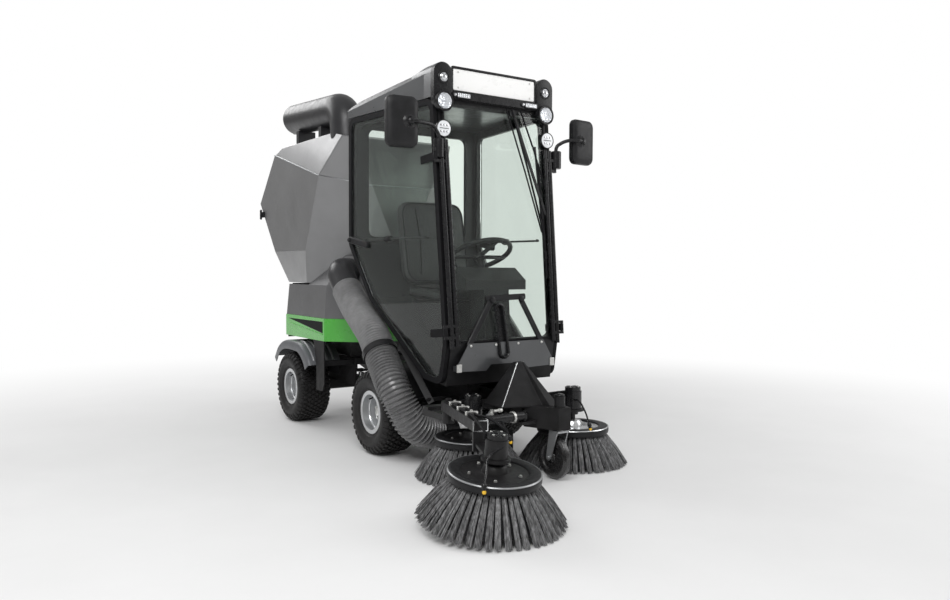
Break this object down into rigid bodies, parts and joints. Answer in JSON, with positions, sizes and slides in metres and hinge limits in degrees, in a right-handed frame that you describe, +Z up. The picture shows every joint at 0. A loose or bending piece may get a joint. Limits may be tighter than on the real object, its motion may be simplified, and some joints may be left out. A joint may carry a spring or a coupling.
{
  "type": "compact road sweeper",
  "caption": "Articulated compact sweeper with glazed cab, tipping hopper, side suction hose, brush unit on a castor and a swinging front brush.",
  "frame": {"origin": "on the ground, under the middle of the machine's outline", "axes": "-Y is forward, +X is the machine's left side, +Z is up"},
  "size_m": [1.5628, 3.3875, 2.1349],
  "materials": {
    "black_coat": "satin powder coat",
    "dark_grey": "metallic paint",
    "silver_grey": "metallic paint",
    "green": "gloss paint",
    "rim_silver": "satin paint",
    "tyre": "matt",
    "castor_tyre": "matt",
    "pane": "clear",
    "dark_plastic": "grained",
    "hose": "satin",
    "bristle": "matt",
    "lens": "clear",
    "red_lens": "clear",
    "white": "gloss",
    "cushion": "matt",
    "steel": "bright",
    "engine": "dark",
    "duct": "satin"
  },
  "bodies": {
    "front_body": {"front_frame": "black_coat", "front_axle": "black_coat", "cab_frame": "dark_grey", "cab_roof": "dark_grey", "windscreen": "pane", "rear_window": "pane", "sign_board": "white", "front_lamps": "lens", "mirrors": "dark_plastic", "front_apron": "dark_grey", "front_fenders": "black_coat", "seat_base": "dark_plastic", "seat": "cushion", "dash": "dark_plastic", "steering_wheel": "dark_plastic", "wiper": "dark_plastic", "hose_strut": "black_coat"},
    "rear_body": {"rear_frame": "black_coat", "rear_axle": "black_coat", "engine_block": "engine", "side_panels": "green", "lower_cowling": "silver_grey", "chassis_panels": "black_coat", "rear_lamps": "red_lens", "rear_fenders": "dark_plastic", "hose_inlet": "hose", "hose_upper": "hose"},
    "wheel_front_right": {"tyre_front_right": "tyre", "rim_front_right": "rim_silver"},
    "wheel_front_left": {"tyre_front_left": "tyre", "rim_front_left": "rim_silver"},
    "wheel_rear_right": {"tyre_rear_right": "tyre", "rim_rear_right": "rim_silver"},
    "wheel_rear_left": {"tyre_rear_left": "tyre", "rim_rear_left": "rim_silver"},
    "right_door": {"door_right": "dark_plastic", "door_glass_right": "pane"},
    "left_door": {"door_left": "dark_plastic", "door_glass_left": "pane"},
    "hopper": {"hopper_shell": "silver_grey", "hopper_cover": "silver_grey", "roof_duct": "duct"},
    "hatch": {"hopper_hatch": "silver_grey"},
    "sweeping_unit": {"sweeper_frame": "black_coat", "mount_hood": "black_coat", "brush_motors": "black_coat", "suction_mouth": "dark_plastic", "arm_barrel": "black_coat", "hose_lower": "hose"},
    "swing_arm": {"third_arm": "black_coat"},
    "front_brush": {"brush_a": "bristle"},
    "right_brush": {"brush_b": "bristle"},
    "left_brush": {"brush_c": "bristle"},
    "castor_swivel": {"castor_fork": "steel"},
    "castor_roller": {"castor_wheel": "castor_tyre"},
    "steering_barrel": {"steer_barrel": "black_coat"},
    "steering_rod": {"steer_rod": "steel"},
    "swing_rod": {"arm_rod": "steel"},
    "tipping_barrels": {"hopper_barrel": "black_coat"},
    "tipping_rods": {"hopper_rod": "steel"}
  },
  "joints": [
    {"name": "articulation", "type": "hinge", "parent": "front_body", "child": "rear_body", "pos_m": [0.13, 0.5353, 0.335], "axis": [0, 0, 1], "range_deg": [-35, 35], "deforming": ["hose_upper"]},
    {"name": "roll_front_right", "type": "hinge", "parent": "front_body", "child": "wheel_front_right", "pos_m": [-0.2365, -0.0417, 0.2285], "axis": [1, 0, 0], "continuous": true},
    {"name": "roll_front_left", "type": "hinge", "parent": "front_body", "child": "wheel_front_left", "pos_m": [0.4965, -0.0417, 0.2285], "axis": [1, 0, 0], "continuous": true},
    {"name": "roll_rear_right", "type": "hinge", "parent": "rear_body", "child": "wheel_rear_right", "pos_m": [-0.2365, 1.1123, 0.2285], "axis": [1, 0, 0], "continuous": true},
    {"name": "roll_rear_left", "type": "hinge", "parent": "rear_body", "child": "wheel_rear_left", "pos_m": [0.4965, 1.1123, 0.2285], "axis": [1, 0, 0], "continuous": true},
    {"name": "right_door_swing", "type": "hinge", "parent": "front_body", "child": "right_door", "pos_m": [-0.23818, -0.62413, 1.13], "axis": [-0.0105, 0.0946, 0.9955], "range_deg": [0, 60]},
    {"name": "left_door_swing", "type": "hinge", "parent": "front_body", "child": "left_door", "pos_m": [0.49818, -0.62413, 1.13], "axis": [-0.0105, -0.0946, -0.9955], "range_deg": [0, 60]},
    {"name": "hopper_tip", "type": "hinge", "parent": "rear_body", "child": "hopper", "pos_m": [0.13, 1.2253, 0.88], "axis": [-1, 0, 0], "range_deg": [0, 45]},
    {"name": "hatch_swing", "type": "hinge", "parent": "hopper", "child": "hatch", "pos_m": [0.13, 1.68439, 1.43058], "axis": [1, 0, 0], "range_deg": [0, 60]},
    {"name": "unit_lift", "type": "hinge", "parent": "front_body", "child": "sweeping_unit", "pos_m": [0.13, -0.2647, 0.33], "axis": [-1, 0, 0], "range_deg": [0, 10], "deforming": ["hose_lower"]},
    {"name": "arm_swing", "type": "hinge", "parent": "sweeping_unit", "child": "swing_arm", "pos_m": [-0.3, -0.7947, 0.37], "axis": [0, 0, 1], "range_deg": [-40, 35]},
    {"name": "front_brush_spin", "type": "hinge", "parent": "swing_arm", "child": "front_brush", "pos_m": [-0.49, -1.4047, 0.03534], "axis": [0, -0.1219, 0.9925], "continuous": true},
    {"name": "right_brush_spin", "type": "hinge", "parent": "sweeping_unit", "child": "right_brush", "pos_m": [-0.11, -0.7147, 0.2], "axis": [0, 0, 1], "continuous": true},
    {"name": "left_brush_spin", "type": "hinge", "parent": "sweeping_unit", "child": "left_brush", "pos_m": [0.49, -0.7647, 0.2], "axis": [0, 0, 1], "continuous": true},
    {"name": "castor_swivel_turn", "type": "hinge", "parent": "sweeping_unit", "child": "castor_swivel", "pos_m": [0.18, -1.0247, 0.3], "axis": [0, 0, 1], "continuous": true},
    {"name": "castor_roll", "type": "hinge", "parent": "castor_swivel", "child": "castor_roller", "pos_m": [0.18, -0.9847, 0.108], "axis": [1, 0, 0], "continuous": true},
    {"name": "steering_barrel_swing", "type": "hinge", "parent": "front_body", "child": "steering_barrel", "pos_m": [0.012, 0.2553, 0.335], "axis": [0, 0, 1], "range_deg": [-14, 14]},
    {"name": "steering_rod_slide", "type": "slide", "parent": "steering_barrel", "child": "steering_rod", "axis": [-0.0742, 0.9972, 0], "range_m": [-0.09, 0.09]},
    {"name": "tipping_barrel_swing", "type": "hinge", "parent": "rear_body", "child": "tipping_barrels", "pos_m": [0.13, 1.0953, 0.64], "axis": [-1, 0, 0], "range_deg": [-2, 40]},
    {"name": "tipping_rod_slide", "type": "slide", "parent": "tipping_barrels", "child": "tipping_rods", "axis": [0, -0.5661, 0.8244], "range_m": [-0.005, 0.21]},
    {"name": "swing_rod_slide", "type": "slide", "parent": "sweeping_unit", "child": "swing_rod", "axis": [-1, 0, 0], "range_m": [-0.09, 0.1]}
  ],
  "couplings": [
    {"joint": "steering_barrel_swing", "follows": "articulation", "ratio": 0.3671},
    {"joint": "steering_rod_slide", "follows": "articulation", "m_per_rad": -0.13686},
    {"joint": "tipping_barrel_swing", "follows": "hopper_tip", "ratio": 0.5411},
    {"joint": "tipping_rod_slide", "follows": "hopper_tip", "m_per_rad": 0.21856},
    {"joint": "swing_rod_slide", "follows": "arm_swing", "m_per_rad": -0.13868}
  ]
}
